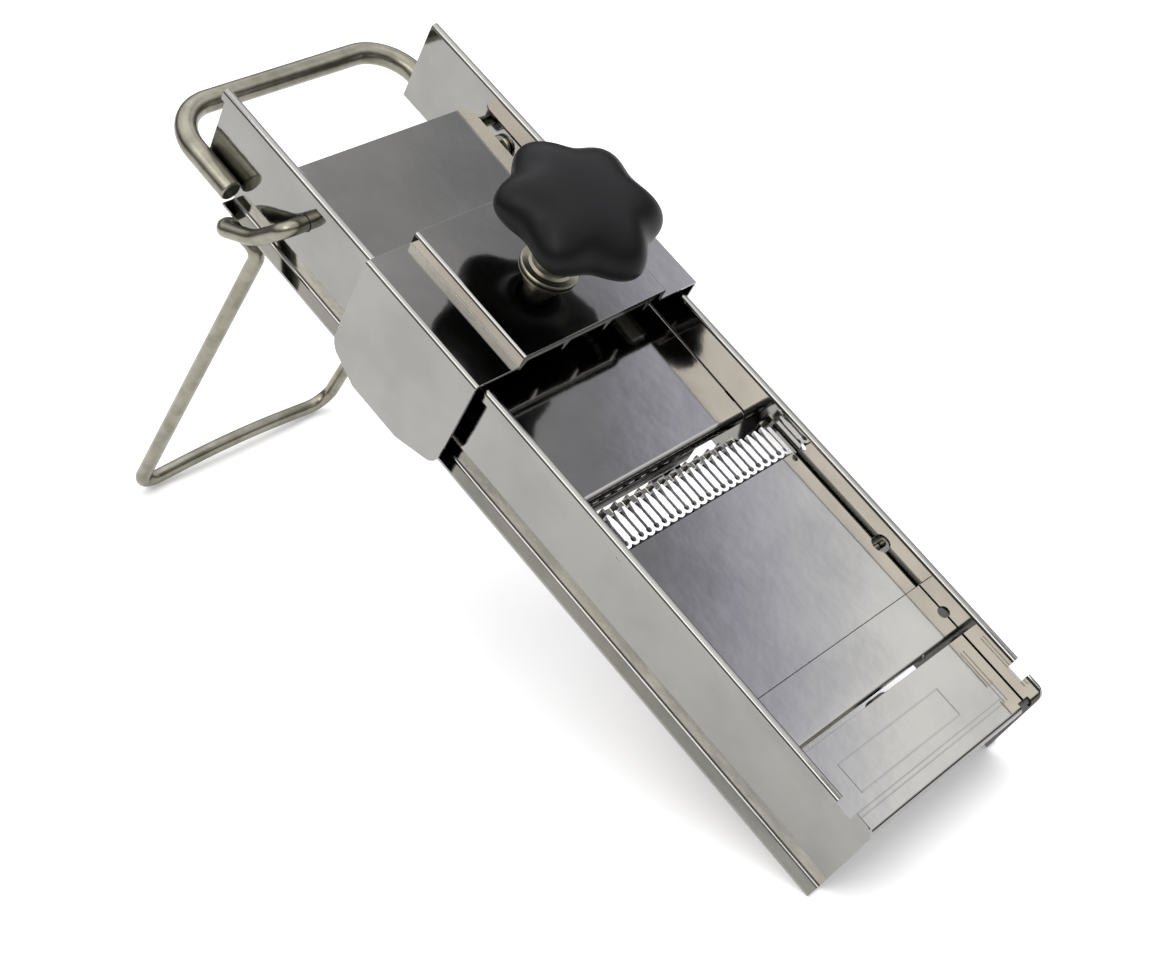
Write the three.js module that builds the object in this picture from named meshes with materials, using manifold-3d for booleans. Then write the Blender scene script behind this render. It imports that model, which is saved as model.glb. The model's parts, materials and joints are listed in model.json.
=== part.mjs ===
// Mandoline slicer: a stainless vegetable slicer on a folding wire stand. Millimetres, +Z up.
// Deck coordinates: x across, y up the slope from the low front end, z square to the deck.
import * as THREE from 'three';
import { mergeVertices } from 'three/addons/utils/BufferGeometryUtils.js';
import Module from 'manifold-3d';

const wasm = await Module();
wasm.setup();

// ---- Driving dimensions -------------------------------------------------------------------
const TILT = THREE.MathUtils.degToRad(29.6);  // slope of the deck on its stand
const GAP = 0.3;                              // clearance between separate solids
const SHEET = 1.2;                            // gauge of the stainless sheet
const RAIL_LENGTH = 383;
const WEB_OUT = 56;                           // outer face of a rail's web
const WEB_IN = WEB_OUT - SHEET;
const RAIL_TOP = 45;
const FLANGE_OUT = 62;
const HEM_OUT = 58.6;
const HEM_BOTTOM = 39.5;
const HEM_START = 17;
const TAB_END = 9.6;                          // the front tab, before the notch in the rail's top
const BED_TOP = 34.5;
const BED_FRONT = 64.2;
const BED_BACK = 137.2;
const PLATE_SIDE = WEB_IN - 0.5;              // half width of the bed and the blades
const BLADE_EDGE = 41;                        // straight blade's cutting edge
const CRINKLE_EDGE = 153.5;
const FLUTE_PITCH = 4.4;
const FLUTES = 23;
const RAMP_LOW = { y: 167, z: 27 };           // upper ramp's lower end
const LIP_LOW_Z = 15;                         // bottom of the deep lip turned down there
const LIP_STEP_X = 24;                        // right of this the lip is short
const RAMP_HIGH = { y: 346, z: 32 };
const FRONT_RAMP_BACK = 37;
const FRONT_RAMP_TOP = 34;
const HANDLE = { x: 61.5, z: 10, start: 363, bar: 406, r: 5, bend: 21 };
const FLANGE_END = 362.4;                     // the flange stops short of the handle's ends
const WIRE_R = 3.5;
const PIVOT = { y: 324.3, z: 26 };            // the stand's holes in the webs
const LEG_X = 59.5;
const LEG_TOP = { y: 337.6, z: -WIRE_R - 1.1 };
const FOOT_Y = 358;
const FOOT_Z = -FOOT_Y * Math.tan(TILT) + WIRE_R / Math.cos(TILT);
const FOOT_BEND = 11;
const FOOT_ARCH = 3;
const CARRIAGE = { front: 217.5, back: 285, low: 49, top: 55, step: 41, skirt: 64, bottom: -9 };
const KNOB = { y: 248, z: 87, r: 36, lobes: 6, waist: 0.17, half: 16 };
const SHAFT_R = 6;
const GUIDE = { r: 8, flange: 12.5, top: 8.6 };
const PRONG_TIP = 42;
const PRONG_X = [-36, -12, 12, 36];

// ---- Making solids ------------------------------------------------------------------------
const alongX = new THREE.Matrix4().makeBasis(
  new THREE.Vector3(0, 1, 0), new THREE.Vector3(0, 0, 1), new THREE.Vector3(1, 0, 0));
const alongY = new THREE.Matrix4().makeBasis(
  new THREE.Vector3(1, 0, 0), new THREE.Vector3(0, 0, 1), new THREE.Vector3(0, -1, 0));

function toSolid(geometry) {
  const bare = geometry.index ? geometry.toNonIndexed() : geometry.clone();
  bare.deleteAttribute('normal');
  bare.deleteAttribute('uv');
  const merged = mergeVertices(bare, 1e-4);
  return new wasm.Manifold(new wasm.Mesh({
    numProp: 3,
    vertProperties: new Float32Array(merged.attributes.position.array),
    triVerts: new Uint32Array(merged.index.array),
  }));
}

function toGeometry(solid) {
  const mesh = solid.getMesh();
  const geometry = new THREE.BufferGeometry();
  geometry.setAttribute('position', new THREE.BufferAttribute(mesh.vertProperties, 3));
  geometry.setIndex(new THREE.BufferAttribute(mesh.triVerts, 1));
  return geometry;
}

function cut(geometry, ...tools) {
  return toGeometry(tools.reduce((solid, tool) => solid.subtract(toSolid(tool)), toSolid(geometry)));
}

function join(geometry, ...others) {
  return toGeometry(others.reduce((solid, other) => solid.add(toSolid(other)), toSolid(geometry)));
}

function trim(geometry, keep) {
  return toGeometry(toSolid(geometry).intersect(toSolid(keep)));
}

// An outline of [y, z] points, drawn out from x0 to x1.
function profileX(points, x0, x1) {
  const shape = new THREE.Shape(points.map(([y, z]) => new THREE.Vector2(y, z)));
  const g = new THREE.ExtrudeGeometry(shape, { depth: x1 - x0, bevelEnabled: false });
  return g.applyMatrix4(alongX).translate(x0, 0, 0);
}

// An outline of [x, z] points, drawn out from y0 to y1.
function profileY(points, y0, y1) {
  const shape = new THREE.Shape(points.map(([x, z]) => new THREE.Vector2(x, z)));
  const g = new THREE.ExtrudeGeometry(shape, { depth: y1 - y0, bevelEnabled: false });
  return g.applyMatrix4(alongY).translate(0, y1, 0);
}

// An outline of [x, y] points, drawn up from z0 to z1.
function profileZ(points, z0, z1) {
  const shape = new THREE.Shape(points.map(([x, y]) => new THREE.Vector2(x, y)));
  return new THREE.ExtrudeGeometry(shape, { depth: z1 - z0, bevelEnabled: false }).translate(0, 0, z0);
}

function box(x0, x1, y0, y1, z0, z1) {
  const g = new THREE.BoxGeometry(x1 - x0, y1 - y0, z1 - z0);
  return g.translate((x0 + x1) / 2, (y0 + y1) / 2, (z0 + z1) / 2);
}

function rodX(r, x0, x1, y, z, sides = 16) {
  const g = new THREE.CylinderGeometry(r, r, x1 - x0, sides).rotateZ(Math.PI / 2);
  return g.translate((x0 + x1) / 2, y, z);
}

function rodZ(r, z0, z1, x, y, sides = 16) {
  const g = new THREE.CylinderGeometry(r, r, z1 - z0, sides).rotateX(Math.PI / 2);
  return g.translate(x, y, (z0 + z1) / 2);
}

// Points along an arc, from angle a to angle b in degrees.
function arc(cx, cy, r, a, b, steps) {
  const points = [];
  for (let i = 0; i <= steps; i += 1) {
    const t = THREE.MathUtils.degToRad(a + (b - a) * i / steps);
    points.push([cx + r * Math.cos(t), cy + r * Math.sin(t)]);
  }
  return points;
}

// A path that keeps the spacing of its own points, so straight runs take no extra rings.
class RodPath extends THREE.Curve {
  constructor(points) {
    super();
    this.points = points;
  }

  getUtoTmapping(u) {
    return u;
  }

  getPoint(t) {
    const s = THREE.MathUtils.clamp(t, 0, 1) * (this.points.length - 1);
    const i = Math.min(Math.floor(s), this.points.length - 2);
    return this.points[i].clone().lerp(this.points[i + 1], s - i);
  }
}

// Corner points [x, y, z, bend radius] turned into a bent rod's centre line.
function bendPath(corners, steps = 6) {
  const at = corners.map(([x, y, z]) => new THREE.Vector3(x, y, z));
  const line = [at[0]];
  for (let i = 1; i < at.length - 1; i += 1) {
    const back = at[i - 1].clone().sub(at[i]).normalize();
    const on = at[i + 1].clone().sub(at[i]).normalize();
    const half = back.angleTo(on) / 2;
    const r = corners[i][3];
    const middle = back.clone().add(on).normalize();
    const centre = at[i].clone().addScaledVector(middle, r / Math.sin(half));
    const first = at[i].clone().addScaledVector(back, r / Math.tan(half)).sub(centre);
    const last = at[i].clone().addScaledVector(on, r / Math.tan(half)).sub(centre);
    const turn = first.angleTo(last);
    for (let k = 0; k <= steps; k += 1) {
      const a = Math.sin(turn * (1 - k / steps)) / Math.sin(turn);
      const b = Math.sin(turn * k / steps) / Math.sin(turn);
      line.push(centre.clone().addScaledVector(first, a).addScaledVector(last, b));
    }
  }
  line.push(at[at.length - 1]);
  return line;
}

function ring(r, sides) {
  return arc(0, 0, r, 0, 360 * (sides - 1) / sides, sides - 1).map(([x, y]) => new THREE.Vector2(x, y));
}

function bentRod(line, r, sides = 12) {
  const shape = new THREE.Shape(ring(r, sides));
  return new THREE.ExtrudeGeometry(shape, { steps: line.length - 1, extrudePath: new RodPath(line) });
}

// ---- Finishes -----------------------------------------------------------------------------
function finish(color, roughness, metalness) {
  return new THREE.MeshStandardMaterial({ color, roughness, metalness });
}
const mirrorSteel = () => finish('#a9a9ac', 0.12, 1);
const whiteSteel = () => finish('#d9d9dc', 0.2, 1);
const wireSteel = () => finish('#8a887a', 0.25, 1);
const darkSteel = () => finish('#6f7074', 0.35, 1);
const blackPlastic = () => finish('#1b1c1e', 0.45, 0);
const palePlastic = () => finish('#d8d6cf', 0.6, 0);

const deck = new THREE.Group();
function add(name, geometry, material) {
  const mesh = new THREE.Mesh(geometry, material);
  mesh.name = name;
  deck.add(mesh);
}

// ---- Frame --------------------------------------------------------------------------------
function sideRail(side) {
  const mirrored = (points) => points.map(([x, z]) => [side * x, z]);
  const bend = 2.4;
  const angle = [
    [WEB_IN, RAIL_TOP], [WEB_IN, bend],
    ...arc(WEB_IN + bend, bend, bend, 180, 270, 4).slice(1),
    [FLANGE_OUT - 0.6, 0], [FLANGE_OUT, 0.6], [FLANGE_OUT - 0.6, SHEET],
    ...arc(WEB_IN + bend, bend, bend - SHEET, 270, 180, 3),
    [WEB_OUT, RAIL_TOP],
  ];
  const crown = (HEM_OUT - WEB_IN) / 2;
  const hem = [
    [WEB_IN, HEM_BOTTOM], [HEM_OUT - 0.6, HEM_BOTTOM], [HEM_OUT, HEM_BOTTOM + 0.6],
    ...arc(WEB_IN + crown, RAIL_TOP - crown, crown, 0, 180, 8),
  ];
  const body = join(
    profileY(mirrored(angle), 0, RAIL_LENGTH),
    profileY(mirrored(hem), HEM_START, RAIL_LENGTH));
  const x0 = side > 0 ? WEB_IN - 3 : -FLANGE_OUT - 3;
  const x1 = side > 0 ? FLANGE_OUT + 3 : -WEB_IN + 3;
  const cornerR = 5;
  const corner = [[-1, RAIL_TOP + 1], [-1, RAIL_TOP - cornerR],
    ...arc(cornerR, RAIL_TOP - cornerR, cornerR, 180, 90, 5), [cornerR, RAIL_TOP + 1]];
  return cut(body,
    box(x0, x1, TAB_END, HEM_START, HEM_BOTTOM, RAIL_TOP + 1),
    profileX(corner, x0, x1),
    box(x0, x1, FLANGE_END, RAIL_LENGTH + 1, -1, 2.4),
    rodX(WIRE_R + GAP, x0, x1, PIVOT.y, PIVOT.z, 20),
    rodX(1.5, x0, x1, 136, 38, 12));
}

function carryHandle() {
  const { x, z, start, bar, bend } = HANDLE;
  const line = bendPath([[-x, start, z], [-x, bar, z, bend], [x, bar, z, bend], [x, start, z]], 8);
  return bentRod(line, HANDLE.r, 16);
}

function bedPlate() {
  const lip = 7.5;
  const side = PLATE_SIDE;
  const section = [
    [-side, BED_TOP - lip], [-side, BED_TOP - 1], [-side + 1, BED_TOP], [side - 1, BED_TOP],
    [side, BED_TOP - 1], [side, BED_TOP - lip], [side - SHEET, BED_TOP - lip],
    [side - SHEET, BED_TOP - SHEET], [-side + SHEET, BED_TOP - SHEET], [-side + SHEET, BED_TOP - lip],
  ];
  const notch = (s) => rodZ(4, BED_TOP - lip - 1, BED_TOP + 1, s * side, 86.5, 20);
  return cut(profileY(section, BED_FRONT, BED_BACK), notch(-1), notch(1));
}

function crinkleBlade() {
  const half = FLUTES * FLUTE_PITCH / 2;
  const wave = 0.7;
  const thick = 0.8;
  const top = [];
  for (let i = 0; i <= FLUTES * 4; i += 1) {
    const rise = wave * [0, 1, 0, -1][i % 4];
    top.push([-half + i * FLUTE_PITCH / 4, BED_TOP - wave + rise]);
  }
  const bottom = top.map(([x, z]) => [x, z - thick]).reverse();
  const heel = BED_BACK + GAP;
  const bevel = [[CRINKLE_EDGE - 4, 30], [CRINKLE_EDGE - 4, 31.6], [CRINKLE_EDGE + 0.1, BED_TOP],
    [CRINKLE_EDGE + 2, 30]];
  return cut(profileY([...top, ...bottom], heel, CRINKLE_EDGE), profileX(bevel, -half - 1, half + 1));
}

function straightBlade() {
  const thick = 1.5;
  const section = [[BLADE_EDGE, BED_TOP], [BED_FRONT - GAP, BED_TOP], [BED_FRONT - GAP, BED_TOP - thick],
    [BLADE_EDGE + 5, BED_TOP - thick], [BLADE_EDGE, BED_TOP - 0.2]];
  const notch = (s) => rodZ(2.5, BED_TOP - 3, BED_TOP + 1, s * PLATE_SIDE, 49.6, 16);
  return cut(profileX(section, -PLATE_SIDE, PLATE_SIDE), notch(-1), notch(1));
}

// A clamp bar bridges under a blade and the bed, with two screw holes.
const CLAMP_SCREW_X = 30;
function clampBar(y0, y1, z0, z1) {
  const hole = (x) => rodZ(2.3, z0 - 1, z1 + 1, x, (y0 + y1) / 2);
  return cut(box(-47, 47, y0, y1, z0, z1), hole(-CLAMP_SCREW_X), hole(CLAMP_SCREW_X));
}

function clampScrew(x, y, z0, z1) {
  const head = rodZ(3.8, z0 - 2.4, z0 - GAP, x, y, 16);
  return join(rodZ(2, z0 - 1, z1, x, y, 12), head);
}

function stud(side, y, r) {
  return rodX(r, side > 0 ? PLATE_SIDE - 3.4 : -WEB_IN + GAP, side > 0 ? WEB_IN - GAP : -PLATE_SIDE + 3.4,
    y, BED_TOP - 2.5, 16);
}

add('left_side_rail', sideRail(-1), mirrorSteel());
add('right_side_rail', sideRail(1), mirrorSteel());
add('carry_handle', carryHandle(), wireSteel());
add('bed_plate', bedPlate(), mirrorSteel());
add('crinkle_blade', crinkleBlade(), whiteSteel());
add('straight_blade', straightBlade(), mirrorSteel());
const CRINKLE_CLAMP = { y0: 128, y1: 147, z0: 27.6, z1: 31.2 };
const STRAIGHT_CLAMP = { y0: 54, y1: 76, z0: 28.2, z1: 32.6 };
for (const [name, c] of [['crinkle', CRINKLE_CLAMP], ['straight', STRAIGHT_CLAMP]]) {
  add(`${name}_clamp_bar`, clampBar(c.y0, c.y1, c.z0, c.z1), darkSteel());
  for (const [word, side] of [['left', -1], ['right', 1]]) {
    const screw = clampScrew(side * CLAMP_SCREW_X, (c.y0 + c.y1) / 2, c.z0, c.z1 + 0.1);
    add(`${name}_clamp_screw_${word}`, screw, darkSteel());
  }
}
for (const [word, side] of [['left', -1], ['right', 1]]) {
  add(`bed_rivet_${word}`, stud(side, 86.5, 1.6), wireSteel());
}
const CROSS_X = WEB_IN - GAP;
add('front_cross_rod', rodX(3, -CROSS_X, CROSS_X, 46, 8, 14), wireSteel());
add('middle_cross_rod', rodX(3, -CROSS_X, CROSS_X, 96, 8, 14), wireSteel());
add('rear_cross_rod', rodX(3, -CROSS_X, CROSS_X, 262, 8, 14), wireSteel());

// ---- Ramps --------------------------------------------------------------------------------
const RAMP_PIN = { y: 340.5, z: 25, r: 2.5 };
const FRONT_PIN = { y: 5, z: 28.2, r: 2 };
const LUG_BORE = GAP;

function upperRamp() {
  const side = WEB_IN - 0.7;
  const fall = Math.atan2(RAMP_HIGH.z - RAMP_LOW.z, RAMP_HIGH.y - RAMP_LOW.y);
  const degrees = THREE.MathUtils.radToDeg(fall);
  const r = 4;
  const front = RAMP_LOW.y - r;
  const outer = arc(RAMP_LOW.y, RAMP_LOW.z - r, r, 90 + degrees, 180, 6);
  const inner = arc(RAMP_LOW.y, RAMP_LOW.z - r, r - SHEET, 180, 90 + degrees, 6);
  const section = [
    [RAMP_HIGH.y, RAMP_HIGH.z], ...outer, [front, LIP_LOW_Z],
    [front + SHEET, LIP_LOW_Z], ...inner, [RAMP_HIGH.y, RAMP_HIGH.z - SHEET],
  ];
  const cornerR = 6;
  const waist = side - 3.4;
  const plan = [
    [-side, 150], [side, 150], [side, 292], [waist, 300],
    ...arc(waist - cornerR, RAMP_HIGH.y - cornerR, cornerR, 0, 90, 5),
    ...arc(-waist + cornerR, RAMP_HIGH.y - cornerR, cornerR, 90, 180, 5),
    [-waist, 300], [-side, 292],
  ];
  const shortLip = box(LIP_STEP_X, side + 1, front - 1, front + r, LIP_LOW_Z - 1, RAMP_LOW.z - r);
  return cut(trim(profileX(section, -side, side), profileZ(plan, 10, 40)), shortLip);
}

function lug(x0, x1, pin, front, back, top) {
  const block = box(x0, x1, front, back, pin.z - pin.r - 2.2, top);
  return cut(block, rodX(pin.r + LUG_BORE, x0 - 1, x1 + 1, pin.y, pin.z, 20));
}

function frontRamp() {
  const side = PLATE_SIDE;
  const top = FRONT_RAMP_TOP;
  const section = [
    [0.6, top - 3.4], [0.6, top - 1.4], [1, top - 0.4], [2, top], [FRONT_RAMP_BACK, top],
    [FRONT_RAMP_BACK, top - SHEET], [2.4, top - SHEET], [1.8, top - 1.7], [1.8, top - 3.4],
  ];
  const notch = (s) => box(Math.min(s * 51.5, s * 56), Math.max(s * 51.5, s * 56), -1, 4, 20, 40);
  return cut(profileX(section, -side, side), notch(-1), notch(1));
}

add('upper_ramp_plate', upperRamp(), mirrorSteel());
add('upper_ramp_hinge_pin', rodX(RAMP_PIN.r, -CROSS_X, CROSS_X, RAMP_PIN.y, RAMP_PIN.z, 14), wireSteel());
add('front_ramp_plate', frontRamp(), mirrorSteel());
add('front_ramp_hinge_pin', rodX(FRONT_PIN.r, -CROSS_X, CROSS_X, FRONT_PIN.y, FRONT_PIN.z, 12), wireSteel());
const rampUnder = (y) => RAMP_LOW.z - SHEET - GAP
  + (y - RAMP_LOW.y) * (RAMP_HIGH.z - RAMP_LOW.z) / (RAMP_HIGH.y - RAMP_LOW.y);
for (const [word, side] of [['left', -1], ['right', 1]]) {
  const x = side * 40;
  add(`upper_ramp_lug_${word}`,
    lug(x - 5, x + 5, RAMP_PIN, RAMP_PIN.y - 5, RAMP_PIN.y + 5, rampUnder(RAMP_PIN.y - 5)), darkSteel());
  add(`front_ramp_lug_${word}`,
    lug(x - 4, x + 4, FRONT_PIN, 2.2, FRONT_PIN.y + 4.5, FRONT_RAMP_TOP - SHEET - GAP), darkSteel());
}

// ---- Thickness adjusters: a shaft across the frame, a cranked lift bar and a thumb lever ---
function adjuster(word, { y, z, throwR, rest, lever, leverX, lean }) {
  const shaftR = 3;
  add(`${word}_adjust_shaft`, rodX(shaftR, -CROSS_X, CROSS_X, y, z, 16), wireSteel());
  const a = THREE.MathUtils.degToRad(rest);
  const barY = y + throwR * Math.cos(a);
  const barZ = z + throwR * Math.sin(a);
  const bore = rodX(shaftR + GAP, -60, 60, y, z, 16);
  const arm = (x) => {
    const across = 4.1;
    const outline = [
      ...arc(y, z, across, rest + 90, rest + 270, 8),
      ...arc(barY, barZ, 2, rest - 90, rest + 90, 5),
    ];
    return profileX(outline, x - 1.5, x + 1.5);
  };
  const bar = join(rodX(2, -40, 40, barY, barZ, 10), arm(-38), arm(38));
  add(`${word}_lift_bar`, cut(bar, bore), darkSteel());
  const b = THREE.MathUtils.degToRad(lean);
  const tipY = y + lever * Math.cos(b);
  const tipZ = z + lever * Math.sin(b);
  const plate = [
    ...arc(y, z, 4.1, lean + 90, lean + 270, 8),
    ...arc(tipY, tipZ, 3, lean - 90, lean + 90, 5),
  ];
  add(`${word}_adjust_lever`,
    cut(profileX(plate, leverX - 1.5, leverX + 1.5), bore), darkSteel());
}

function leverGrip(word, { y, z, lever, leverX, lean }) {
  const b = THREE.MathUtils.degToRad(lean);
  const outline = [
    ...arc(y + (lever - 7) * Math.cos(b), z + (lever - 7) * Math.sin(b), 5, lean + 90, lean + 270, 6),
    ...arc(y + (lever + 1.5) * Math.cos(b), z + (lever + 1.5) * Math.sin(b), 5, lean - 90, lean + 90, 6),
  ];
  const slot = [
    ...arc(y, z, 4.1 + GAP, lean + 90, lean + 270, 8),
    ...arc(y + lever * Math.cos(b), z + lever * Math.sin(b), 3 + GAP, lean - 90, lean + 90, 6),
  ];
  add(`${word}_lever_grip`, cut(
    profileX(outline, leverX - 5, leverX + 5),
    profileX(slot, leverX - 1.5 - GAP, leverX + 1.5 + GAP)), blackPlastic());
}
const UPPER_ADJUST = { y: 176, z: 21.6, throwR: 10, rest: 13, lever: 30, leverX: 25, lean: 250 };
const FRONT_ADJUST = { y: 26, z: 23, throwR: 8, rest: 63, lever: 22, leverX: 25, lean: 300 };
for (const [word, sizes] of [['upper', UPPER_ADJUST], ['front', FRONT_ADJUST]]) {
  adjuster(word, sizes);
  leverGrip(word, sizes);
}

// ---- Julienne comb ------------------------------------------------------------------------
const COMB_PIN = { y: 118, z: 21, r: 2.5 };
const COMB = { y0: 157, y1: 160, tip: 24.3, root: 17, teeth: 13, pitch: 7 };

function combCarrier() {
  const arm = (side) => {
    const x = side * 51.2;
    const outline = [
      ...arc(COMB_PIN.y, COMB_PIN.z, 5, 90, 270, 8),
      [COMB.y1 + 1, 9], [COMB.y1 + 1, 15], [150, 22],
    ];
    return cut(profileX(outline, x - 1.2, x + 1.2), rodX(COMB_PIN.r + GAP, -60, 60, COMB_PIN.y, COMB_PIN.z, 16));
  };
  const bar = box(-52.4, 52.4, COMB.y0 - 1, COMB.y1 + 1, 9, 13);
  const tab = box(-9, 9, COMB.y0 - 0.5, COMB.y1 - 0.5, -7, 12);
  return join(bar, arm(-1), arm(1), tab);
}

function julienneComb() {
  const { teeth, pitch, root, tip } = COMB;
  const half = 46;
  const outline = [[half, 13 + GAP], [half, root]];
  for (let i = teeth - 1; i >= 0; i -= 1) {
    const x = (i - (teeth - 1) / 2) * pitch;
    outline.push([x + 1, root], [x + 0.5, tip], [x - 0.5, tip], [x - 1, root]);
  }
  outline.push([-half, root], [-half, 13 + GAP]);
  return profileY(outline, COMB.y0, COMB.y1);
}
add('comb_pivot_pin', rodX(COMB_PIN.r, -CROSS_X, CROSS_X, COMB_PIN.y, COMB_PIN.z, 14), wireSteel());
add('comb_carrier', combCarrier(), darkSteel());
add('julienne_comb', julienneComb(), mirrorSteel());

// ---- Carriage that slides along the rails --------------------------------------------------
function coverSection() {
  const { low, top, step, skirt, bottom } = CARRIAGE;
  const outer = [[skirt, bottom], [skirt, low - 1.5], [skirt - 0.44, low - 0.44], [skirt - 1.5, low],
    [step + 1, low], [step, low + 0.6], [step, top - 1], [step - 1, top]];
  const inner = [[step - SHEET, top - SHEET], [step - SHEET, low - SHEET + 0.6], [step - 0.6, low - SHEET],
    [skirt - SHEET - 0.4, low - SHEET], [skirt - SHEET, low - SHEET - 0.4], [skirt - SHEET, bottom]];
  const flip = ([x, z]) => [-x, z];
  return [...outer, ...outer.map(flip).reverse(), ...inner.map(flip).reverse(), ...inner];
}

function carriageCover() {
  const { front, back, top, skirt, bottom } = CARRIAGE;
  const sleeve = rodZ(GUIDE.r + GAP, top - 5, top + 5, 0, KNOB.y, 24);
  const chamfer = 22;
  const r = 9;
  const side = [
    [front - 1, top + 1], [front, bottom + chamfer],
    ...arc(front + chamfer * 0.42, bottom + chamfer * 0.62, r, 170, 235, 4),
    [front + chamfer, bottom], [back - chamfer * 0.8, bottom],
    ...arc(back - chamfer * 0.42, bottom + chamfer * 0.62, r, 305, 370, 4),
    [back, bottom + chamfer], [back + 1, top + 1],
  ];
  const body = profileY(coverSection(), front, back);
  return cut(trim(body, profileX(side, -skirt - 2, skirt + 2)), sleeve);
}

// Nylon glides: one pair rides on the rails' tops, the other runs under the flanges.
add('carriage_cover', carriageCover(), mirrorSteel());
for (const [word, side] of [['left', -1], ['right', 1]]) {
  const low = CARRIAGE.low - SHEET - GAP;
  const inside = CARRIAGE.skirt - SHEET - GAP;
  const top = [[side * 51, RAIL_TOP + GAP], [side * 60.5, RAIL_TOP + GAP], [side * 60.5, low], [side * 51, low]];
  add(`${word}_top_glide`, profileY(top, CARRIAGE.front + 4, CARRIAGE.back - 4), palePlastic());
  const runner = [[side * 58, -4.5], [side * inside, -4.5], [side * inside, -GAP], [side * 58, -GAP]];
  add(`${word}_under_runner`, profileY(runner, CARRIAGE.front + 22, CARRIAGE.back - 22), palePlastic());
}

// ---- Pusher: knob, shaft, presser plate and prongs ----------------------------------------
const PRESSER = { top: 51.5, thick: 1.5, half: 38, front: 218.6, back: 281 };

function guideSleeve() {
  const { r, flange, top } = GUIDE;
  const base = CARRIAGE.top + GAP;
  const profile = [
    [SHAFT_R + GAP, base - SHEET - 2], [r, base - SHEET - 2], [r, base], [flange, base], [flange, base + 1.6],
    [r + 0.6, base + 2.6], [r + 0.6, base + top - 1], [r - 0.4, base + top], [SHAFT_R + GAP, base + top],
    [SHAFT_R + GAP, base - SHEET - 2],
  ];
  return lathe(profile, 24);
}

function lathe(profile, sides) {
  const points = profile.map(([x, y]) => new THREE.Vector2(x, y));
  return new THREE.LatheGeometry(points, sides).rotateX(Math.PI / 2).translate(0, KNOB.y, 0);
}

function sleeveNut() {
  const top = CARRIAGE.top - SHEET - GAP;
  const hex = new THREE.CylinderGeometry(12.5, 12.5, 1.4, 6).rotateX(Math.PI / 2);
  return cut(hex.translate(0, KNOB.y, top - 0.7), rodZ(GUIDE.r + GAP, top - 3, top + 3, 0, KNOB.y, 24));
}

function starKnob() {
  const { z, r, half, lobes, waist } = KNOB;
  const profile = [
    [SHAFT_R + GAP, -half], [11, -half], [12.5, -half + 1.5], [15, -half + 6], [r * 0.8, -half + 9.5],
    [r * 0.97, -half + 13], [r, -half + 17], [r * 0.96, half - 9], [r * 0.8, half - 4],
    [r * 0.5, half - 1.2], [0, half], [0, half - 12], [SHAFT_R + GAP, half - 12], [SHAFT_R + GAP, -half],
  ];
  const g = new THREE.LatheGeometry(profile.map(([x, y]) => new THREE.Vector2(x, y)), 48);
  const at = g.attributes.position;
  for (let i = 0; i < at.count; i += 1) {
    const x = at.getX(i);
    const y = at.getZ(i);
    const reach = THREE.MathUtils.smoothstep(Math.hypot(x, y), 12, r * 0.9);
    const scale = 1 - waist * reach * (1 + Math.cos(lobes * Math.atan2(y, x))) / 2;
    at.setX(i, x * scale);
    at.setZ(i, y * scale);
  }
  return g.rotateX(Math.PI / 2).translate(0, KNOB.y, z);
}

function pusherShaft() {
  const foot = PRESSER.top + GAP;
  const top = KNOB.z + KNOB.half - 12 - GAP;
  return lathe([[0, 44.5], [3.5, 44.5], [4, 45], [4, foot], [SHAFT_R, foot], [SHAFT_R, top - 1],
    [SHAFT_R - 1, top], [0, top]], 24);
}

function presserPlate() {
  const { top, thick, half, front, back } = PRESSER;
  const plan = [[-half, front], [half, front], [half, back], [-half, back]];
  return cut(profileZ(plan, top - thick, top), rodZ(4 + GAP, top - 5, top + 5, 0, KNOB.y, 20));
}

function prongStrip(y) {
  const top = PRESSER.top - PRESSER.thick - GAP;
  const outline = [[PRESSER.half, top], [-PRESSER.half - 0.01, top], [-PRESSER.half, top - 2]];
  for (const x of PRONG_X) {
    outline.push([x - 1.6, top - 2], [x - 0.5, PRONG_TIP], [x + 0.5, PRONG_TIP], [x + 1.6, top - 2]);
  }
  outline.push([PRESSER.half, top - 2]);
  return profileY(outline, y, y + 1.5);
}

function shaftNut() {
  const top = PRESSER.top - PRESSER.thick - GAP;
  const hex = new THREE.CylinderGeometry(7.5, 7.5, 3.6, 6).rotateX(Math.PI / 2);
  return cut(hex.translate(0, KNOB.y, top - 1.8), rodZ(4 + GAP, top - 9, top + 9, 0, KNOB.y, 20));
}

add('guide_sleeve', guideSleeve(), wireSteel());
add('guide_sleeve_nut', sleeveNut(), darkSteel());
add('star_knob', starKnob(), blackPlastic());
add('pusher_shaft', pusherShaft(), wireSteel());
add('presser_plate', presserPlate(), mirrorSteel());
add('shaft_nut', shaftNut(), darkSteel());
add('front_prong_strip', prongStrip(PRESSER.front + 0.4), mirrorSteel());
add('rear_prong_strip', prongStrip(PRESSER.back - 2), mirrorSteel());

// ---- Folding wire stand -------------------------------------------------------------------
function standWire() {
  const half = [
    [-(WEB_IN - 4.3), PIVOT.y, PIVOT.z],
    [-66.9, PIVOT.y, PIVOT.z, 7],
    [-66.9, 336.3, 11.8, 30],
    [-67, 352.5, -2.2, 4.2],
    [-60.5, 356.5, LEG_TOP.z, 3.8],
    [-LEG_X, LEG_TOP.y, LEG_TOP.z, 5],
    [-LEG_X, FOOT_Y, FOOT_Z, FOOT_BEND],
  ];
  const other = half.map(([x, y, z, r]) => [-x, y, z, r]).reverse();
  const middle = [0, FOOT_Y, FOOT_Z + 2 * FOOT_ARCH, 300];
  return bentRod(bendPath([...half, middle, ...other]), WIRE_R, 12);
}

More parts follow.
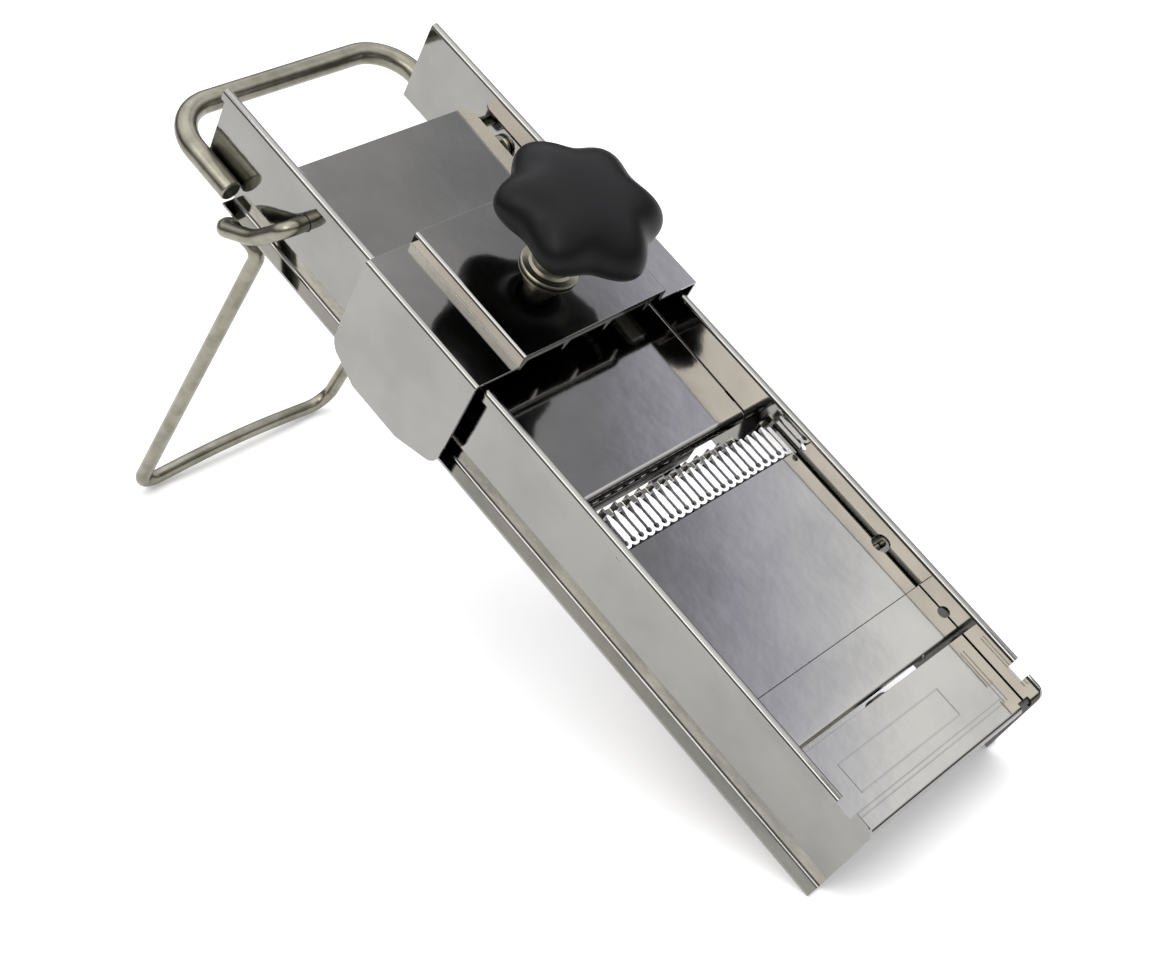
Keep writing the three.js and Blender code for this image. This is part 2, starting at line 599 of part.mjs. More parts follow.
function collar(side) {
  const near = WEB_IN - GAP;
  const x0 = side > 0 ? near - 1.6 : -near;
  return cut(rodX(6, x0, x0 + 1.6, PIVOT.y, PIVOT.z, 20), rodX(WIRE_R + GAP, x0 - 1, x0 + 3, PIVOT.y, PIVOT.z, 20));
}
add('stand_wire', standWire(), wireSteel());
add('stand_collar_left', collar(-1), wireSteel());
add('stand_collar_right', collar(1), wireSteel());

// ---- Set the deck on its slope, with the origin on the ground under the middle of it all ---
deck.rotation.x = TILT;
const slicer = new THREE.Group();
slicer.add(deck);
slicer.updateMatrixWorld(true);
const bounds = new THREE.Box3().setFromObject(slicer, true);
deck.position.set(
  -(bounds.min.x + bounds.max.x) / 2, -(bounds.min.y + bounds.max.y) / 2, -bounds.min.z);

export default slicer;
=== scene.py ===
"""A stainless mandoline slicer on its folding wire stand, in a plain pale studio."""
import json
import math

import bmesh
import bpy
from mathutils import Matrix, Vector


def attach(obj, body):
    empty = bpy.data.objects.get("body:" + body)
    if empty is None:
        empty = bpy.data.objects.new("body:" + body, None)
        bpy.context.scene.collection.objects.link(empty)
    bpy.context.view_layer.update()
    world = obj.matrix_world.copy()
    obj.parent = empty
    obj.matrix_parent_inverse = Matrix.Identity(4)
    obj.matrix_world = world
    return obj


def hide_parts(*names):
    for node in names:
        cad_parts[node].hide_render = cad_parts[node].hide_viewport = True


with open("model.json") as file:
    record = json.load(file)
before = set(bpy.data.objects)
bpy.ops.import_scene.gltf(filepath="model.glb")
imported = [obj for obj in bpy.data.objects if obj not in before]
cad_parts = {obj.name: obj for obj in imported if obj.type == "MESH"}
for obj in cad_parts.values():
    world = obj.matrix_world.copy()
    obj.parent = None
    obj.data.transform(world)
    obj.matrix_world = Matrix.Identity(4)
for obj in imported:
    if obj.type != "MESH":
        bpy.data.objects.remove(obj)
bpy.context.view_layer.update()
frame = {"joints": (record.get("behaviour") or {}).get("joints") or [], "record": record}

MM = 0.001

# ---- The deck's own axes, taken from the joints: x across, y up the slope, z square to it ----
joints = {joint["name"]: joint for joint in frame["joints"]}
record = frame["record"]
home = {node: body for body, nodes in record["behaviour"]["bodies"].items() for node in nodes}
slots = {part["node"]: part["material_slot"] for part in record["subparts"]}
along = Vector(joints["carriage_slide"]["axis"])
tilt = math.atan2(along.z, along.y)
square = Vector((0, -math.sin(tilt), math.cos(tilt)))
STAND_PIVOT_Y = 324.3
STAND_PIVOT_Z = 26.0
deck_origin = (Vector(joints["stand_fold"]["pos_m"])
               - along * STAND_PIVOT_Y * MM - square * STAND_PIVOT_Z * MM)
DECK = Matrix.Translation(deck_origin) @ Matrix.Rotation(tilt, 4, "X") @ Matrix.Scale(MM, 4)
ACROSS = Vector((1, 0, 0))
UPHILL = Vector((0, 1, 0))
OUT = Vector((0, 0, 1))
SHEET = 1.2


# ---- Camera ----------------------------------------------------------------------------------
def make_camera():
    azimuth = math.radians(47.14)
    elevation = math.radians(31.22)
    roll = math.radians(-0.23)
    data = bpy.data.cameras.new("camera")
    data.lens = 60.78
    data.sensor_width = 36
    data.clip_start = 0.01
    camera = bpy.data.objects.new("camera", data)
    bpy.context.scene.collection.objects.link(camera)
    forward = Vector((math.sin(azimuth) * math.cos(elevation), math.cos(azimuth) * math.cos(elevation),
                      -math.sin(elevation)))
    level = forward.cross(OUT).normalized()
    right = Matrix.Rotation(roll, 3, forward) @ level
    up = right.cross(forward)
    rotation = Matrix((right, up, -forward)).transposed().to_4x4()
    camera.matrix_world = Matrix.Translation(deck_origin + Vector((-512.2, -306.6, 499.9)) * MM) @ rotation
    bpy.context.scene.camera = camera


# ---- Materials -------------------------------------------------------------------------------
def srgb(code):
    """A hex colour as linear red, green, blue and alpha."""
    values = [int(code[i:i + 2], 16) / 255 for i in (1, 3, 5)]
    linear = [v / 12.92 if v <= 0.04045 else ((v + 0.055) / 1.055) ** 2.4 for v in values]
    return (*linear, 1)


def add_node(tree, kind, settings=None, **links):
    """One node: settings are its own properties or socket values, links are (from node, socket)."""
    node = tree.nodes.new(kind)
    for key, value in (settings or {}).items():
        if key in node.inputs:
            node.inputs[key].default_value = value
        else:
            setattr(node, key, value)
    for key, (source, socket) in links.items():
        tree.links.new(source.outputs[socket], node.inputs[key.replace("_", " ")])
    return node


def set_ramp(node, *stops):
    """Colour stops on a ramp node, each a place from 0 to 1 and a hex colour."""
    ramp = node.color_ramp
    while len(ramp.elements) < len(stops):
        ramp.elements.new(0.5)
    for element, (place, code) in zip(ramp.elements, stops):
        element.position = place
        element.color = srgb(code)


def new_material(name, base, metallic, roughness):
    material = bpy.data.materials.new(name)
    material.use_nodes = True
    tree = material.node_tree
    shader = tree.nodes["Principled BSDF"]
    shader.inputs["Base Color"].default_value = srgb(base)
    shader.inputs["Metallic"].default_value = metallic
    shader.inputs["Roughness"].default_value = roughness
    return material, tree, shader


def deck_coordinates(tree, stretch=(1, 1, 1)):
    """Object coordinates turned to lie along the deck, in metres."""
    place = add_node(tree, "ShaderNodeTexCoord")
    turned_back = add_node(tree, "ShaderNodeMapping", {"Rotation": (-tilt, 0, 0)},
                           Vector=(place, "Object"))
    return add_node(tree, "ShaderNodeMapping", {"Scale": stretch}, Vector=(turned_back, "Vector"))


def metal(name, light, dark, smooth, rough, lines, wave, line_height):
    """A steel: its colour and polish drift in patches, fine lines run along it, and it waves a little.

    lines is the width of one line and wave the length of one wave, both in millimetres.
    """
    material, tree, shader = new_material(name, light, 1, smooth)
    flat = deck_coordinates(tree)
    patches = add_node(tree, "ShaderNodeTexNoise",
                       {"Scale": 1 / (wave * MM), "Detail": 4.0, "Roughness": 0.55}, Vector=(flat, "Vector"))
    tint = add_node(tree, "ShaderNodeValToRGB", Fac=(patches, "Fac"))
    set_ramp(tint, (0.35, dark), (0.62, light))
    tree.links.new(tint.outputs["Color"], shader.inputs["Base Color"])
    drawn_out = deck_coordinates(tree, (1, 0.02, 1))
    grain = add_node(tree, "ShaderNodeTexNoise", {"Scale": 1 / (lines * MM), "Detail": 2.0},
                     Vector=(drawn_out, "Vector"))
    polish = add_node(tree, "ShaderNodeMapRange", {"To Min": smooth, "To Max": rough},
                      Value=(patches, "Fac"))
    tree.links.new(polish.outputs["Result"], shader.inputs["Roughness"])
    waves = add_node(tree, "ShaderNodeBump", {"Strength": 0.35, "Distance": 0.4 * MM},
                     Height=(patches, "Fac"))
    brushed = add_node(tree, "ShaderNodeBump", {"Strength": 0.3, "Distance": line_height * MM},
                       Height=(grain, "Fac"), Normal=(waves, "Normal"))
    tree.links.new(brushed.outputs["Normal"], shader.inputs["Normal"])
    return material


def mouldings(name, light, dark, roughness, grain, height):
    """A moulded plastic: a fine spark-eroded grain with slow drifts in colour. grain and height in mm."""
    material, tree, shader = new_material(name, light, 0, roughness)
    place = add_node(tree, "ShaderNodeTexCoord")
    drift = add_node(tree, "ShaderNodeTexNoise", {"Scale": 60.0, "Detail": 3.0},
                     Vector=(place, "Object"))
    tint = add_node(tree, "ShaderNodeValToRGB", Fac=(drift, "Fac"))
    set_ramp(tint, (0.3, dark), (0.7, light))
    tree.links.new(tint.outputs["Color"], shader.inputs["Base Color"])
    skin = add_node(tree, "ShaderNodeTexNoise", {"Scale": 1 / (grain * MM), "Detail": 2.0},
                    Vector=(place, "Object"))
    polish = add_node(tree, "ShaderNodeMapRange", {"To Min": roughness - 0.05, "To Max": roughness + 0.1},
                      Value=(drift, "Fac"))
    tree.links.new(polish.outputs["Result"], shader.inputs["Roughness"])
    pits = add_node(tree, "ShaderNodeBump", {"Strength": 0.4, "Distance": height * MM},
                    Height=(skin, "Fac"))
    tree.links.new(pits.outputs["Normal"], shader.inputs["Normal"])
    return material


# Bright-annealed stainless sheet, mirror polished: near a mirror, with slow waves and faint wipe marks.
sheet_steel = metal("mirror_polished_stainless_sheet", "#94938f", "#8b8a87", 0.04, 0.12, 0.5, 38, 0.004)
# Ground stainless blade: whiter, with fine grinding lines that soften what it mirrors.
blade_steel = metal("ground_stainless_blade", "#ffffff", "#f2f2f6", 0.42, 0.55, 0.3, 12, 0.01)
# The valleys of the fluted blade are near-black and dull: painted shade for the dark grooves between the
# flutes.
valley_steel = metal("tempered_blade_valley", "#2c2927", "#1e1c1b", 0.4, 0.6, 0.4, 5, 0.01)
# Bright drawn stainless wire: warm grey, with fine die lines along it.
wire_steel = metal("bright_drawn_stainless_wire", "#8f8c7f", "#7a776a", 0.24, 0.36, 0.25, 9, 0.006)
# Pickled mill-finish steel on the inner fittings: dull and slightly mottled.
inner_steel = metal("pickled_mill_finish_steel", "#8d8c88", "#6f6e6a", 0.3, 0.45, 0.4, 6, 0.01)
# Weld metal, brushed after welding: dull with straw and grey patches.
weld_steel = metal("brushed_weld_metal", "#9a948a", "#6d665c", 0.3, 0.5, 0.6, 3, 0.03)
# Moulded ABS knob and grips: black satin with a fine moulded grain.
black_abs = mouldings("black_moulded_abs", "#08080a", "#050507", 0.4, 0.45, 0.02)
black_abs.node_tree.nodes["Principled BSDF"].inputs["Specular IOR Level"].default_value = 0.18
# Natural nylon glides: translucent off-white with a dull moulded skin.
nylon = mouldings("natural_moulded_nylon", "#dedbd2", "#d0ccc1", 0.5, 0.6, 0.02)
nylon.node_tree.nodes["Principled BSDF"].inputs["Subsurface Weight"].default_value = 0.1
by_slot = {"mirror_steel": sheet_steel, "blade_steel": blade_steel, "wire_steel": wire_steel,
           "inner_steel": inner_steel, "black_plastic": black_abs, "pale_nylon": nylon}


# ---- Shaping tools: everything is shaped in millimetres on the deck's axes, then settled ------
def only(piece):
    bpy.ops.object.select_all(action="DESELECT")
    piece.select_set(True)
    bpy.context.view_layer.objects.active = piece


def edit(piece):
    only(piece)
    bpy.ops.object.mode_set(mode="EDIT")
    bpy.ops.mesh.select_mode(type="VERT")
    bpy.ops.mesh.select_all(action="DESELECT")


def leave():
    bpy.ops.object.mode_set(mode="OBJECT")


def pick(piece, kind, test):
    """In edit mode, selects the verts, edges or faces whose middle passes the test."""
    bpy.ops.mesh.select_mode(type={"verts": "VERT", "edges": "EDGE", "faces": "FACE"}[kind])
    bpy.ops.mesh.select_all(action="DESELECT")
    mesh = bmesh.from_edit_mesh(piece.data)
    for item in getattr(mesh, kind):
        corners = [item] if kind == "verts" else item.verts
        if test(sum((corner.co for corner in corners), Vector()) / len(corners)):
            item.select_set(True)
    bmesh.update_edit_mesh(piece.data)


def draw(run):
    bpy.ops.mesh.extrude_region_move(TRANSFORM_OT_translate={"value": Vector(run)})


def tidy_skin():
    """In edit mode, merges doubled corners and points every face outwards."""
    bpy.ops.mesh.select_all(action="SELECT")
    bpy.ops.mesh.remove_doubles(threshold=0.0005)
    bpy.ops.mesh.normals_make_consistent(inside=False)


def arc(a, b, r, start, end, steps):
    """Pairs along an arc about (a, b), from start to end in degrees."""
    turns = [math.radians(start + (end - start) * i / steps) for i in range(steps + 1)]
    return [(a + r * math.cos(t), b + r * math.sin(t)) for t in turns]


def at_x(x, pairs):
    return [Vector((x, a, b)) for a, b in pairs]


def at_y(y, pairs):
    return [Vector((a, y, b)) for a, b in pairs]


def at_z(z, pairs):
    return [Vector((a, b, z)) for a, b in pairs]


def flipped(pairs):
    """The same line for the other side, so that a section can go on past the middle."""
    return [(-a, b) for a, b in reversed(pairs)]


def drawn(name, points, run, closed=True):
    """A plane drawn in to one corner, out round an outline, and along: a bar, or a strip if open."""
    bpy.ops.object.select_all(action="DESELECT")
    bpy.ops.mesh.primitive_plane_add(size=1, location=points[0])
    piece = bpy.context.object
    piece.name = name
    bpy.ops.object.transform_apply(location=True, rotation=True, scale=True)
    edit(piece)
    bpy.ops.mesh.select_all(action="SELECT")
    bpy.ops.mesh.merge(type="CENTER")
    for here, there in zip(points, points[1:]):
        bpy.ops.mesh.extrude_vertices_move(TRANSFORM_OT_translate={"value": there - here})
    bpy.ops.mesh.select_all(action="SELECT")
    if closed:
        bpy.ops.mesh.edge_face_add()
    draw(run)
    tidy_skin()
    leave()
    return piece


def box(name, x0, x1, y0, y1, z0, z1):
    return drawn(name, at_z(z0, [(x0, y0), (x1, y0), (x1, y1), (x0, y1)]), (0, 0, z1 - z0))


def ring(name, place, way, radius, sides):
    bpy.ops.object.select_all(action="DESELECT")
    bpy.ops.mesh.primitive_circle_add(vertices=sides, radius=radius)
    piece = bpy.context.object
    piece.name = name
    piece.matrix_world = Matrix.Translation(place) @ way.to_track_quat("Z", "Y").to_matrix().to_4x4()
    bpy.ops.object.transform_apply(location=True, rotation=True, scale=True)
    edit(piece)
    bpy.ops.mesh.select_all(action="SELECT")
    return piece


def close_start(piece, place, way):
    """Caps the ring that the piece was started from."""
    pick(piece, "verts", lambda at: abs((at - place).dot(way)) < 0.001)
    bpy.ops.mesh.edge_face_add()


def turned(name, foot, way, rings, sides=32):
    """Turned work: a ring drawn along its axis and scaled from (radius, height) to (radius, height).

    It is capped at both ends, or closed on itself if the last ring is the first again.
    """
    foot = Vector(foot)
    radius, height = rings[0]
    first = foot + way * height
    piece = ring(name, first, way, radius, sides)
    for next_radius, next_height in rings[1:]:
        draw(way * (next_height - height))
        grow = next_radius / radius
        bpy.ops.transform.resize(value=(grow, grow, grow), center_override=foot + way * next_height)
        radius, height = next_radius, next_height
    if rings[0] != rings[-1]:
        bpy.ops.mesh.edge_face_add()
        close_start(piece, first, way)
    tidy_skin()
    leave()
    return piece


def bent_rod(name, corners, radius, sides=24, steps=9):
    """A ring drawn down each straight run and spun round each bend. corners are (x, y, z, bend)."""
    points = [Vector(corner[:3]) for corner in corners]
    way = (points[1] - points[0]).normalized()
    first_way = way
    piece = ring(name, points[0], way, radius, sides)
    here = points[0]
    for i in range(1, len(points) - 1):
        onward = (points[i + 1] - points[i]).normalized()
        turn = way.angle(onward)
        bend = corners[i][3]
        setback = bend * math.tan(turn / 2)
        start = points[i] - way * setback
        draw(start - here)
        axis = way.cross(onward).normalized()
        bpy.ops.mesh.spin(steps=steps, angle=turn, center=start + axis.cross(way) * bend, axis=-axis)
        here = points[i] + onward * setback
        way = onward
    draw(points[-1] - here)
    bpy.ops.mesh.edge_face_add()
    pick(piece, "verts", lambda at: abs((at - points[0]).dot(first_way)) < 0.001
         and (at - points[0]).length < radius * 1.01)
    bpy.ops.mesh.edge_face_add()
    tidy_skin()
    leave()
    return piece


def modify(piece, kind, **settings):
    """Adds a modifier, sets it and applies it."""
    only(piece)
    bpy.ops.object.modifier_add(type=kind)
    modifier = piece.modifiers[-1]
    for key, value in settings.items():
        setattr(modifier, key, value)
    bpy.ops.object.modifier_apply(modifier=modifier.name)


def sheet(piece):
    """Gives a strip the thickness of the sheet, half to each side."""
    modify(piece, "SOLIDIFY", thickness=SHEET, offset=0, use_even_offset=True)


def soften(piece, width, segments=2, angle=40):
    modify(piece, "BEVEL", width=width, segments=segments, limit_method="ANGLE",
           angle_limit=math.radians(angle))


def cut(piece, *tools, operation="DIFFERENCE"):
    for tool in tools:
        modify(piece, "BOOLEAN", object=tool, operation=operation, solver="EXACT")
        bpy.data.objects.remove(tool)


def joined(piece, *others):
    only(piece)
    for other in others:
        other.select_set(True)
    bpy.ops.object.join()
    return piece


def copied(piece, name, move):
    """A copy with its own mesh, moved."""
    only(piece)
    bpy.ops.object.duplicate()
    twin = bpy.context.object
    twin.name = name
    edit(twin)
    bpy.ops.mesh.select_all(action="SELECT")
    bpy.ops.transform.translate(value=move)
    leave()
    return twin


def mirrored(piece, name):
    """A copy for the other side of the slicer, with its own mesh."""
    twin = copied(piece, name, (0, 0, 0))
    edit(twin)
    bpy.ops.mesh.select_all(action="SELECT")
    bpy.ops.transform.resize(value=(-1, 1, 1), center_override=(0, 0, 0))
    bpy.ops.mesh.normals_make_consistent(inside=False)
    leave()
    return twin


def settle(piece, *nodes, body=None, material=None, smooth=35):
    """Sets a finished piece at its real size and slope, standing for the nodes, on their body."""
    only(piece)
    piece.matrix_world = DECK
    bpy.ops.object.transform_apply(location=True, rotation=True, scale=True)
    bpy.ops.object.shade_smooth_by_angle(angle=math.radians(smooth))
    modify(piece, "WEIGHTED_NORMAL", keep_sharp=True, weight=100)
    piece.data.materials.clear()
    piece.data.materials.append(material or by_slot[slots[nodes[0]]])
    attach(piece, body or home[nodes[0]])
    if nodes:
        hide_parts(*nodes)
    return piece


def rod(name, r, x0, x1, y, z):
    """A round rod across the slicer with chamfered ends."""
    long = x1 - x0
    rings = [(r - 0.4, 0), (r, 0.4), (r, long - 0.4), (r - 0.4, long)]
    return turned(name, (x0, y, z), ACROSS, rings, 24)


def drill_x(r, x0, x1, y, z):
    return turned("drill", (x0, y, z), ACROSS, [(r, 0), (r, x1 - x0)], 32)


def drill_z(r, z0, z1, x, y):
    return turned("drill", (x, y, z0), OUT, [(r, 0), (r, z1 - z0)], 32)


# ---- Side rails: flange, web and folded hem in one strip of sheet -----------------------------
WEB_IN = 54.8
RAIL_LENGTH = 383.0
FLANGE_END = 362.4
NOTCH_BACK = 17.0
STAND_HOLE_R = 3.8
BLADE_SCREW_R = 1.5


def make_rails():
    section = ([(61.9, 0.6)] + arc(57.2, 2.4, 1.8, 270, 180, 5) + [(55.4, 43.1)]
               + arc(56.7, 43.1, 1.3, 180, 0, 8)[1:] + [(58.0, 40.1)])
    rail = drawn("right_rail_sheet", at_y(0, section), (0, RAIL_LENGTH, 0), closed=False)
    sheet(rail)
    corner = [(-1, 46), (-1, 40)] + arc(5, 40, 5, 180, 90, 6) + [(5, 46)]
    cut(rail,
        box("front_of_hem", 56.05, 60, -1, NOTCH_BACK, 30, 47),
        box("notch", 50, 60, 9.6, NOTCH_BACK, 39.5, 47),
        drawn("tab_corner", at_x(50, corner), (12, 0, 0)),
        box("end_of_flange", 50, 64, FLANGE_END, RAIL_LENGTH + 1, -1, 2.4),
        drill_x(STAND_HOLE_R, 50, 60, STAND_PIVOT_Y, STAND_PIVOT_Z),
        drill_x(BLADE_SCREW_R, 50, 56.5, 136, 38))
    soften(rail, 0.25)
    left = mirrored(rail, "left_rail_sheet")
    settle(rail, "right_side_rail")
    settle(left, "left_side_rail")


# ---- Carrying handle: one bent bar welded outside the rails -----------------------------------
HANDLE_R = 4.9
HANDLE_X = 61.5
HANDLE_Z = 10.0
HANDLE_FRONT = 360.0
HANDLE_BACK = 406.0
HANDLE_BEND = 21.0


def make_handle():
    route = [(-HANDLE_X, HANDLE_FRONT, HANDLE_Z, 0), (-HANDLE_X, HANDLE_BACK, HANDLE_Z, HANDLE_BEND),
             (HANDLE_X, HANDLE_BACK, HANDLE_Z, HANDLE_BEND), (HANDLE_X, HANDLE_FRONT, HANDLE_Z, 0)]
    bar = bent_rod("handle_bar", route, HANDLE_R, sides=32, steps=14)
    soften(bar, 1.1, 4, 60)
    settle(bar, "carry_handle")
    # A weld is a row of overlapping ripples under the bar.
    ripple = turned("weld_right", (57.2, 365, 6.4), UPHILL,
                    [(0.4, -1.1), (1.2, -0.7), (1.45, 0), (1.1, 0.8), (0.4, 1.1)], 10)
    ripples = [copied(ripple, "ripple", (0, 1.5 * i, 0)) for i in range(1, 11)]
    joined(ripple, *ripples)
    left = mirrored(ripple, "weld_left")
    for weld in (ripple, left):
        settle(weld, body="frame", material=weld_steel, smooth=60)


# ---- Bed and blades -----------------------------------------------------------------------------
BED_TOP = 34.5
BED_FRONT = 64.2
BED_LENGTH = 73.0
RIVET_Y = 86.5
CLAMP_SCREW_X = 30.0


def make_bed():
    edge = [(-53.7, 27.0)] + arc(-52.4, 32.6, 1.3, 180, 90, 5)
    bed = drawn("bed_sheet", at_y(BED_FRONT, edge + flipped(edge)), (0, BED_LENGTH, 0), closed=False)
    sheet(bed)
    cut(bed, drill_z(4, 26, 36, -54.3, RIVET_Y), drill_z(4, 26, 36, 54.3, RIVET_Y))
    soften(bed, 0.15)
    settle(bed, "bed_plate")
    rivet = turned("bed_rivet_head_right", (50.9, RIVET_Y, 32), ACROSS,
                   [(0.8, 0), (1.4, 0.3), (1.6, 0.8), (1.6, 3.2), (1.2, 3.6)], 20)
    left = mirrored(rivet, "bed_rivet_head_left")
    settle(rivet, "bed_rivet_right")
    settle(left, "bed_rivet_left")


def make_straight_blade():
    section = [(41, 34.1), (41.9, BED_TOP), (63.9, BED_TOP), (63.9, 33.0), (46.5, 33.0), (41, 34.0)]
    blade = drawn("straight_blade_ground", at_x(-54.3, section), (108.6, 0, 0))
    cut(blade, drill_z(2.5, 30, 36, -54.3, 49.6), drill_z(2.5, 30, 36, 54.3, 49.6))
    soften(blade, 0.08, 1)
    settle(blade, "straight_blade", material=sheet_steel)


def make_crinkle_blade():
    """One flute is a flat ridge between two slots that end in round holes; it is copied across."""
    pitch = 4.4
    flutes = 23
    slot = 0.68
    hole = 1.25
    back = 140.3
    reach = math.degrees(math.asin(slot / hole))
    scallop = math.degrees(math.acos(pitch / 2 / 2.6))
    outline = (arc(0, back, 2.6, -90, -scallop, 5) + arc(pitch, back, 2.6, 180 + scallop, 270, 5)[1:]
               + arc(pitch, back, hole, 270, 90 + reach, 6)
               + [(pitch - slot, 149), (pitch - 1.65, 153.5), (1.65, 153.5), (slot, 149)]
               + arc(0, back, hole, 90 - reach, -90, 6))
    first = pitch * flutes / 2
    flute = drawn("crinkle_blade_flutes", at_z(32.6, [(x - first, y) for x, y in outline]), (0, 0, 1.9))
    soften(flute, 0.16, 2, 50)
    copies = [copied(flute, "flute", (pitch * i, 0, 0)) for i in range(1, flutes)]
    ends = [box("flute_end", x0, x1, 137.6, 152, 32.6, 34.4) for x0, x1 in ((-52.6, -50.7), (50.7, 52.6))]
    joined(flute, *copies, *ends)
    settle(flute, "crinkle_blade")
    # A near-black sheet under the flutes: painted shade in the grooves between them.
    valleys = box("crinkle_blade_valleys", -52.6, 52.6, 137.6, 152.6, 31.7, 32.6)
    settle(valleys, "crinkle_blade", material=valley_steel)


def make_clamps():
    """A bar under each blade holds it to the bed with two slotted screws."""
    for word, y0, y1, z0, z1 in (("crinkle", 128, 147, 27.6, 31.2), ("straight", 54, 76, 28.2, 32.6)):
        middle = (y0 + y1) / 2
        bar = box(f"{word}_clamp_strap", -47, 47, y0, y1, z0, z1)
        cut(bar, drill_z(2.3, z0 - 1, z1 + 1, -CLAMP_SCREW_X, middle),
            drill_z(2.3, z0 - 1, z1 + 1, CLAMP_SCREW_X, middle))
        soften(bar, 0.5)
        settle(bar, f"{word}_clamp_bar")
        low = z0 - 2.4
        long = z1 - low
        screw = turned(f"{word}_slotted_screw_right", (CLAMP_SCREW_X, middle, low), OUT,
                       [(3.2, 0), (3.8, 0.5), (3.8, 2.1), (2, 2.1), (2, long - 0.4), (1.7, long)], 24)
        cut(screw, box("driver_slot", CLAMP_SCREW_X - 5, CLAMP_SCREW_X + 5, middle - 0.5, middle + 0.5,
                       low - 1, low + 1.1))
        left = mirrored(screw, f"{word}_slotted_screw_left")
        settle(screw, f"{word}_clamp_screw_right")
        settle(left, f"{word}_clamp_screw_left")


# ---- Ramps ----------------------------------------------------------------------------------------
RAMP_LOW = (167, 27)
RAMP_HIGH = (346, 32)
LIP_LOW_Z = 15.0
LIP_STEP_X = 24.0


def make_upper_ramp():
    fall = math.degrees(math.atan2(RAMP_HIGH[1] - RAMP_LOW[1], RAMP_HIGH[0] - RAMP_LOW[0]))
    lip = ([(RAMP_LOW[0] - 3.4, LIP_LOW_Z)]
           + arc(RAMP_LOW[0], RAMP_LOW[1] - 4, 3.4, 180, 90 + fall, 8))
    ramp = drawn("upper_ramp_sheet", at_x(-54.1, lip + [(RAMP_HIGH[0], RAMP_HIGH[1] - 0.6)]), (108.2, 0, 0),
                 closed=False)
    sheet(ramp)
    plan = ([(-54.1, 150), (54.1, 150), (54.1, 292), (50.7, 300)] + arc(44.7, 340, 6, 0, 90, 6)
            + arc(-44.7, 340, 6, 90, 180, 6) + [(-50.7, 300), (-54.1, 292)])
    cut(ramp, drawn("plan", at_z(10, plan), (0, 0, 30)), operation="INTERSECT")
    cut(ramp, box("below_short_lip", LIP_STEP_X, 60, 150, 168, 10, 23))
    soften(ramp, 0.18)
    settle(ramp, "upper_ramp_plate")


def make_front_ramp():
    section = [(1.2, 30.6)] + arc(2.7, 31.9, 1.5, 180, 90, 5) + [(38.4, 33.4)]
    ramp = drawn("front_ramp_sheet", at_x(-54.3, section), (108.6, 0, 0), closed=False)
    sheet(ramp)
    cut(ramp, box("left_corner", -56, -51.5, -1, 4, 20, 40), box("right_corner", 51.5, 56, -1, 4, 20, 40))
    soften(ramp, 0.18)
    # Stamped beads: a double rule along the front and the right, and a plain panel in the middle.
    double_rule = ((-46, 46, 7.6, 8.1), (-46, 46, 9.6, 10.1), (46.4, 46.9, 7.6, 33), (48.4, 48.9, 7.6, 33))
    panel = ((-38, 24, 14.5, 15.1), (-38, 24, 27.4, 28), (-38.6, -38, 14.5, 28), (24, 24.6, 14.5, 28))
    beads = []
    for x0, x1, y0, y1 in double_rule + panel:
        bead = box("bead", x0, x1, y0, y1, 33.9, 34.12)
        soften(bead, 0.1)
        beads.append(bead)
    joined(ramp, *beads)
    settle(ramp, "front_ramp_plate")


LUG_X = 40.0
UPPER_PIN = (340.5, 25, 2.5)
FRONT_PIN = (5, 28.2, 2)


def make_lugs():
    for word, half, y0, y1, (pin_y, pin_z, r), top in (("upper_ramp", 5, 335.5, 345.5, UPPER_PIN, 30.2),
                                                       ("front_ramp", 4, 2.2, 9.5, FRONT_PIN, 32.5)):
        low = pin_z - r - 2.2
        outline = ([(y0, top), (y0, low + 2)] + arc(y0 + 2, low + 2, 2, 180, 270, 4)
                   + arc(y1 - 2, low + 2, 2, 270, 360, 4) + [(y1, top)])
        lug = drawn(f"{word}_hinge_lug_right", at_x(LUG_X - half, outline), (2 * half, 0, 0))
        cut(lug, drill_x(r + 0.3, LUG_X - half - 1, LUG_X + half + 1, pin_y, pin_z))
        soften(lug, 0.3)
        left = mirrored(lug, f"{word}_hinge_lug_left")
        settle(lug, f"{word}_lug_right")
        settle(left, f"{word}_lug_left")


# ---- Rods and pins across the frame --------------------------------------------------------------
COMB_PIN = (118, 21, 2.5)
UPPER_SHAFT = (176, 21.6, 3)
FRONT_SHAFT = (26, 23, 3)


def make_rods():
    """Each rod is at (y, z) with its radius, and flares into its welds at both ends."""
    reach = WEB_IN - 0.3
    for node, (y, z, r) in (("front_cross_rod", (46, 8, 3)), ("middle_cross_rod", (96, 8, 3)),
                            ("rear_cross_rod", (262, 8, 3)), ("upper_ramp_hinge_pin", UPPER_PIN),
                            ("front_ramp_hinge_pin", FRONT_PIN), ("comb_pivot_pin", COMB_PIN),
                            ("upper_adjust_shaft", UPPER_SHAFT), ("front_adjust_shaft", FRONT_SHAFT)):
        rings = [(r + 0.7, 0), (r + 0.25, 0.5), (r, 1.2), (r, 2 * reach - 1.2), (r + 0.25, 2 * reach - 0.5),
                 (r + 0.7, 2 * reach)]
        settle(turned(f"{node}_bar", (-reach, y, z), ACROSS, rings, 24), node)


